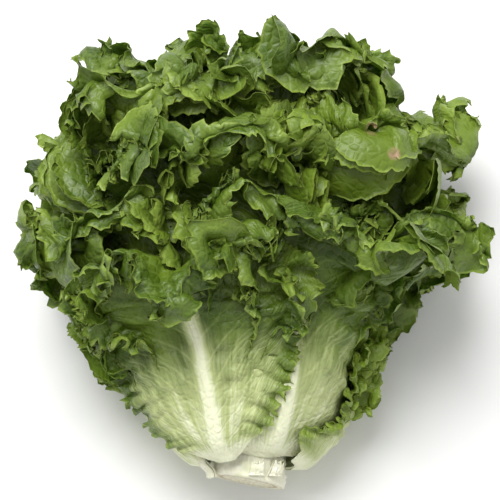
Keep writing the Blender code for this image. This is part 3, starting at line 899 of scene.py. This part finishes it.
def add_piece(name, mesh, material, *nodes, slot):
    """A finer piece that replaces nodes of the model."""
    obj = add_object(name, mesh)
    mesh.materials.append(material)
    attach(obj, BODY)
    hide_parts(*nodes)


class Nodes:
    """A short way to add and link the nodes of one material."""

    def __init__(self, name):
        self.material = bpy.data.materials.new(name)
        self.material.use_nodes = True
        self.tree = self.material.node_tree
        self.shader = self.tree.nodes["Principled BSDF"]
        self.place = self.add("ShaderNodeTexCoord", {}, out="Object")

    def set(self, node, inputs):
        for key, value in inputs.items():
            if isinstance(value, bpy.types.NodeSocket):
                self.tree.links.new(value, node.inputs[key])
            else:
                node.inputs[key].default_value = value

    def add_node(self, kind, inputs, **settings):
        node = self.tree.nodes.new(kind)
        for key, value in settings.items():
            setattr(node, key, value)
        self.set(node, inputs)
        return node

    def add(self, kind, inputs, out=0, **settings):
        return self.add_node(kind, inputs, **settings).outputs[out]

    def attribute(self, name, out="Fac"):
        return self.add("ShaderNodeAttribute", {}, out=out, attribute_name=name)

    def noise(self, place, scale, detail, **inputs):
        return self.add("ShaderNodeTexNoise", {"Vector": place, "Scale": scale, "Detail": detail, **inputs})

    def math(self, operation, a, b=0.0, clamp=False):
        return self.add("ShaderNodeMath", {0: a, 1: b}, operation=operation, use_clamp=clamp)

    def plus(self, a, b, clamp=False):
        return self.math("ADD", a, b, clamp)

    def minus(self, a, b):
        return self.math("SUBTRACT", a, b)

    def times(self, a, b):
        return self.math("MULTIPLY", a, b)

    def ramp(self, value, low, high, to_low=0.0, to_high=1.0):
        inputs = {"Value": value, "From Min": low, "From Max": high, "To Min": to_low, "To Max": to_high}
        return self.add("ShaderNodeMapRange", inputs, interpolation_type="SMOOTHSTEP")

    def mix(self, factor, a, b):
        """Blend of two colours, each a socket or three numbers, by the Mix node's sockets for colours."""
        a, b = (c if isinstance(c, bpy.types.NodeSocket) else (*c, 1.0) for c in (a, b))
        return self.add("ShaderNodeMix", {0: factor, 6: a, 7: b}, out=2, data_type="RGBA")

    def layered(self, colour, *layers):
        """A colour with others laid over it one by one, each with how much of it shows."""
        for factor, over in layers:
            colour = self.mix(factor, colour, over)
        return colour

    def bump(self, height, strength, distance):
        inputs = {"Strength": strength, "Distance": distance, "Height": height}
        self.set(self.shader, {"Normal": self.add("ShaderNodeBump", inputs)})


def branching_veins(n, along, share):
    """Veins that leave the rib at a slant, with finer ones between them nearer to the margin."""
    line = n.plus(n.math("DIVIDE", along, VEIN_GAP), n.times(n.noise(n.place, 60.0, 2.0), 0.4))
    vein = None
    for lines, begins, width in VEINS:
        off = n.math("ABSOLUTE", n.minus(n.math("FRACT", n.times(line, lines)), 0.5))
        mark = n.ramp(n.times(off, VEIN_GAP / lines), width * 0.2, width, 1.0, 0.0)
        mark = n.times(mark, n.ramp(share, begins - 0.05, begins + 0.15))
        vein = mark if vein is None else n.math("MAXIMUM", vein, mark)
    return vein


def leaf_material(name, looks, tone, bruises):
    """Green blade, pale rib and base, rims and tips with painted light, branching veins and a waxy gloss.
    tone goes from 0, deep, to 1, yellowish. bruises are places of small brown flecks, each with its size."""
    n = Nodes(name)
    pale, margin = n.attribute("pale"), n.attribute("to_margin")
    blade = n.add_node("ShaderNodeSeparateXYZ", {"Vector": n.attribute("blade", out="Vector")})
    along, share, fan = blade.outputs
    vein = branching_veins(n, along, share)
    length = n.add("ShaderNodeSeparateXYZ", {"Vector": n.place}, out="Y")
    strands = n.add("ShaderNodeCombineXYZ", {"X": n.times(fan, 26.0), "Y": n.times(length, 22.0)})
    streaks = n.noise(strands, 1.0, 4.0, Roughness=0.6)
    cells = {"Vector": n.place, "Scale": 210.0, "Randomness": 0.9}
    net = n.add("ShaderNodeTexVoronoi", cells, feature="DISTANCE_TO_EDGE")
    cloud, fine = n.noise(n.place, 28.0, 3.0), n.noise(n.place, 420.0, 2.0)
    green, lighter = (
        [a + (b - a) * share_of_yellow for a, b in zip(looks.deep_green, looks.yellow_green)]
        for share_of_yellow in (tone, min(1.0, tone + 0.45))
    )
    # Painted light: the blade is lightened in patches within a centimetre of the margin, for light shining
    # through its thin tips.
    painted_tip_light = n.times(n.ramp(margin, 0.0, 0.010, 1.0, 0.0), n.ramp(cloud, 0.45, 0.75))
    veined = n.plus(pale, n.times(n.minus(vein, 0.25), 0.08))
    veined = n.plus(veined, n.times(n.minus(streaks, 0.5), 0.75), clamp=True)
    veined = n.times(veined, n.ramp(pale, 0.0, 0.2))
    colour = n.layered(
        green,
        (n.ramp(cloud, 0.35, 0.68), lighter),
        (n.times(n.ramp(net, 0.0, 0.09, 1.0, 0.0), 0.22), looks.vein_green),
        (n.times(vein, 0.30), looks.vein_green),
        # Painted light: a thin lighter band along the margin stands in for light shining through the thin
        # blade.
        (n.times(n.ramp(margin, 0.0002, 0.0016, 1.0, 0.0), 0.55), looks.painted_rim_light),
        (n.times(painted_tip_light, 0.55), looks.painted_rim_light),
        (n.ramp(veined, 0.02, 0.62), looks.pale_green),
        (n.ramp(veined, 0.50, 1.0), looks.rib_white),
    )
    for spot, size in bruises:
        away = n.add("ShaderNodeVectorMath", {0: n.place, 1: spot}, out="Value", operation="DISTANCE")
        away = n.plus(away, n.times(n.minus(cloud, 0.5), 2.8 * size))
        flecks = n.times(n.ramp(away, 0.25 * size, size, 1.0, 0.0), n.ramp(net, 0.0, 0.25, 0.9, 0.45))
        colour = n.mix(flecks, colour, looks.bruise_brown)
    n.set(n.shader, {
        "Base Color": colour,
        "Roughness": n.ramp(fine, 0.2, 0.8, 0.34, 0.50),
        "Specular IOR Level": 0.36,
        "Subsurface Weight": 0.08,
        "Subsurface Radius": (0.0012, 0.0022, 0.0006),
        "Subsurface Scale": 1.0,
        "Coat Weight": 0.06,
        "Coat Roughness": 0.28,
    })
    height = n.plus(n.ramp(net, 0.0, 0.30), n.times(vein, -0.6))
    n.bump(n.plus(height, n.times(fine, 0.12)), 0.55, 0.0006)
    return n.material


def stem_material(name, looks):
    """Moist white stem flesh with lengthwise fibres, browned where it is cut and greenish at torn ends."""
    n = Nodes(name)
    cut, end = n.attribute("cut"), n.attribute("end")
    drawn_out = {0: n.place, 1: (900.0, 60.0, 900.0)}
    fibre = n.noise(n.add("ShaderNodeVectorMath", drawn_out, operation="MULTIPLY"), 1.0, 3.0)
    cloud, grain = n.noise(n.place, 90.0, 4.0), n.noise(n.place, 650.0, 3.0)
    wall = n.layered(
        looks.flesh_shade,
        (n.ramp(fibre, 0.35, 0.75), looks.flesh),
        (n.ramp(cloud, 0.50, 0.72, 0.0, 0.65), looks.flesh_green),
        (n.ramp(grain, 0.62, 0.78, 0.0, 0.35), looks.browned),
        (n.ramp(end, 0.45, 1.0, 0.0, 0.85), looks.torn_green),
    )
    from_ring = n.math("ABSOLUTE", n.minus(n.plus(cut, n.times(cloud, 0.12)), 0.82))
    sawn = n.layered(
        looks.cut_face,
        (n.ramp(grain, 0.3, 0.7), looks.flesh_shade),
        (n.ramp(from_ring, 0.02, 0.10, 0.8, 0.0), looks.browned),
        (n.ramp(cut, 0.93, 1.0, 0.0, 0.8), looks.browned),
    )
    n.set(n.shader, {
        "Base Color": n.mix(n.math("GREATER_THAN", cut, -0.5), wall, sawn),
        "Roughness": n.ramp(cloud, 0.2, 0.8, 0.36, 0.55),
        "Subsurface Weight": 0.2,
        "Subsurface Radius": (0.004, 0.003, 0.002),
        "Subsurface Scale": 1.0,
    })
    n.bump(n.plus(fibre, n.times(grain, 0.7)), 0.5, 0.0004)
    return n.material


def floor_material(name, colour):
    """A pale matt floor, a little cloudy."""
    n = Nodes(name)
    darker = [0.985 * c for c in colour]
    n.set(n.shader, {
        "Base Color": n.mix(n.noise(n.place, 6.0, 2.0), colour, darker),
        "Roughness": 0.85,
        "Specular IOR Level": 0.2,
    })
    return n.material


def metres(name, description, default):
    """A length that a user may change."""
    return FloatProperty(name=name, description=description, default=default, unit="LENGTH")


def tint(name, description, *default):
    """A colour that a user may change."""
    return FloatVectorProperty(name=name, description=description, default=default, subtype="COLOR")


class EscaroleLeafLooks(bpy.types.PropertyGroup):
    """Sizes and colours of the leaves."""

    fold_length: metres("Fold length", "Length of a broad fold along the margin", 0.0300)
    fold_height: metres("Fold height", "How far a broad fold stands off the blade", 0.0050)
    fold_band: metres("Fold band", "How far in from the margin the broad folds reach", 0.055)
    curl_length: metres("Curl length", "Length of a curl along the margin", 0.0125)
    curl_height: metres("Curl height", "How far a curl stands off the blade", 0.0029)
    curl_band: metres("Curl band", "How far in from the margin the curls reach", 0.024)
    ruffle_length: metres("Ruffle length", "Length of a ruffle along the margin", 0.0066)
    ruffle_height: metres("Ruffle height", "How far a ruffle stands off the curl", 0.0009)
    ruffle_band: metres("Ruffle band", "How far in from the margin the ruffles reach", 0.008)
    lobe_length: metres("Lobe length", "Length of a lobe of the margin", 0.0135)
    lobe_depth: metres("Lobe depth", "How far the lobes stand out", 0.0042)
    tooth_length: metres("Tooth length", "Distance between teeth", 0.0058)
    tooth_height: metres("Tooth height", "How far the teeth stand out", 0.0030)
    frill_length: metres("Frill length", "How far a doubled frill stands off the blade", 0.019)
    pucker_height: metres("Pucker height", "Height of the puckers between the veins", 0.0010)
    blade_thickness: metres("Blade thickness", "Thickness of the blade", 0.00055)
    deep_green: tint("Deep green", "Green of the crown", 0.043, 0.085, 0.003)
    yellow_green: tint("Yellow green", "Green of the outer leaves", 0.178, 0.262, 0.020)
    vein_green: tint("Vein green", "Green of the veins", 0.170, 0.250, 0.045)
    # Painted light: the colour laid on the margins and tips for light shining through the thin blade.
    painted_rim_light: tint("Rim green", "Green of the thin margins", 0.290, 0.390, 0.065)
    pale_green: tint("Pale green", "Colour between the green blade and the white rib", 0.440, 0.500, 0.212)
    rib_white: tint("Rib white", "Colour of the midrib", 0.800, 0.820, 0.580)
    bruise_brown: tint("Bruise brown", "Colour of the bruises on the broad leaf", 0.40, 0.25, 0.16)


class EscaroleStemLooks(bpy.types.PropertyGroup):
    """Colours of the stump and the torn stubs."""

    flesh: tint("Flesh", "Stem flesh in the light", 0.86, 0.85, 0.71)
    flesh_shade: tint("Flesh shade", "Between the fibres", 0.76, 0.75, 0.58)
    flesh_green: tint("Green flesh", "Greenish patches", 0.55, 0.58, 0.33)
    torn_green: tint("Torn green", "Ends of the torn stubs", 0.40, 0.46, 0.16)
    cut_face: tint("Cut face", "Drying cut face", 0.46, 0.41, 0.25)
    browned: tint("Browned", "Browned rim and flecks", 0.30, 0.21, 0.09)


class EscaroleStageLooks(bpy.types.PropertyGroup):
    """Camera, lights and floor."""

    elevation: FloatProperty(
        name="Elevation", description="Height of the camera above the horizon", default=math.radians(72),
        subtype="ANGLE",
    )
    frame_width: metres("Frame width", "Width of the view at the head's middle", 0.302)
    lens: FloatProperty(name="Lens", description="Focal length in millimetres", default=180.0)
    floor_colour: tint("Floor", "Colour of the floor", 0.88, 0.88, 0.87)
    key_power: FloatProperty(name="Key light", description="Power of the large light", default=50.0)
    sky: FloatProperty(name="Sky", description="Strength of the light from all round", default=0.70)


class ESCAROLE_OT_leaves(bpy.types.Operator):
    """Replace every leaf by a finer one"""

    bl_idname = "escarole.leaves"
    bl_label = "Make the leaves"

    def execute(self, context):
        looks = context.scene.escarole_leaf_looks
        materials = [
            leaf_material(f"leaf_tone_{k}", looks, tone, BRUISES if k == BRUISED_TONE else ())
            for k, tone in enumerate(TONES)
        ]
        for number in range(LEAF_COUNT):
            name = f"leaf_{number + 1:02d}"
            blade = Blade(number, looks)
            under = math.cos(blade.shell.azimuth) <= UNDERNEATH
            tiers = TIERS_OF.get(number, (0,) if under else (0, 1))
            sheets = [blade, *(Frill(blade, tier, looks) for tier in tiers)]
            material = materials[TONE_OF.get(number, 0)]
            add_piece(f"fine_{name}", leaf_mesh(name, sheets), material, name, slot="leaf_green")
        return {"FINISHED"}


class ESCAROLE_OT_stem(bpy.types.Operator):
    """Give the stump and the torn stubs their stem flesh"""

    bl_idname = "escarole.stem"
    bl_label = "Make the stem"

    def execute(self, context):
        flesh = stem_material("stem_flesh", context.scene.escarole_stem_looks)
        add_piece("fine_stump", stump_mesh(), flesh, "stump", slot="stump_cream")
        for name, *measures in STUBS:
            add_piece(f"fine_{name}", stub_mesh(name, *measures), flesh, name, slot="stump_cream")
        return {"FINISHED"}


class ESCAROLE_OT_stage(bpy.types.Operator):
    """Add the floor, the lights and the camera"""

    bl_idname = "escarole.stage"
    bl_label = "Make the stage"

    def execute(self, context):
        scene, looks = context.scene, context.scene.escarole_stage_looks
        mesh = bpy.data.meshes.new("floor")
        corners = [(x * FLOOR_HALF, y * FLOOR_HALF, 0.0) for x, y in ((-1, -1), (1, -1), (1, 1), (-1, 1))]
        mesh.from_pydata(corners, [], [(0, 1, 2, 3)])
        mesh.materials.append(floor_material("pale_floor", looks.floor_colour))
        floor = add_object("floor", mesh)
        scene.world = bpy.data.worlds.new("sky")
        scene.world.use_nodes = True
        sky = scene.world.node_tree.nodes["Background"].inputs
        sky["Color"].default_value = (1.0, 1.0, 1.0, 1.0)
        sky["Strength"].default_value = looks.sky
        light = add_object("key", bpy.data.lights.new("key", "AREA"))
        light.data.shape = "DISK"
        light.data.size = LIGHT_SIZE
        light.data.energy = looks.key_power
        light.location = LIGHT_PLACE
        light.rotation_euler = (-LIGHT_PLACE).to_track_quat("-Z", "Y").to_euler()
        scene.camera = camera = add_object("camera", bpy.data.cameras.new("camera"))
        camera.data.lens = looks.lens
        camera.data.sensor_width = SENSOR_WIDTH
        camera.data.clip_start = 0.01
        back = Vector((0.0, -math.cos(looks.elevation), math.sin(looks.elevation)))
        camera.location = LOOK_AT + back * (looks.frame_width * looks.lens / SENSOR_WIDTH)
        camera.rotation_euler = (-back).to_track_quat("-Z", "Y").to_euler()
        scene.view_settings.view_transform = "Standard"
        return {"FINISHED"}


class ESCAROLE_PT_panel(bpy.types.Panel):
    """The head's pieces, in the order in which they are made"""

    bl_idname = "ESCAROLE_PT_panel"
    bl_label = "Escarole head"
    bl_space_type = "VIEW_3D"
    bl_region_type = "UI"
    bl_category = "Escarole"

    def draw(self, context):
        for operator in OPERATORS:
            self.layout.operator(operator.bl_idname)


LOOKS = {
    "escarole_leaf_looks": EscaroleLeafLooks,
    "escarole_stem_looks": EscaroleStemLooks,
    "escarole_stage_looks": EscaroleStageLooks,
}
OPERATORS = (ESCAROLE_OT_leaves, ESCAROLE_OT_stem, ESCAROLE_OT_stage)
CLASSES = (*LOOKS.values(), *OPERATORS, ESCAROLE_PT_panel)


def register():
    for cls in CLASSES:
        bpy.utils.register_class(cls)
    for name, looks in LOOKS.items():
        setattr(bpy.types.Scene, name, PointerProperty(type=looks))


def unregister():
    for name in LOOKS:
        delattr(bpy.types.Scene, name)
    for cls in reversed(CLASSES):
        bpy.utils.unregister_class(cls)


def main():
    register()
    bpy.ops.escarole.leaves()
    bpy.ops.escarole.stem()
    bpy.ops.escarole.stage()


if __name__ == "__main__":
    main()
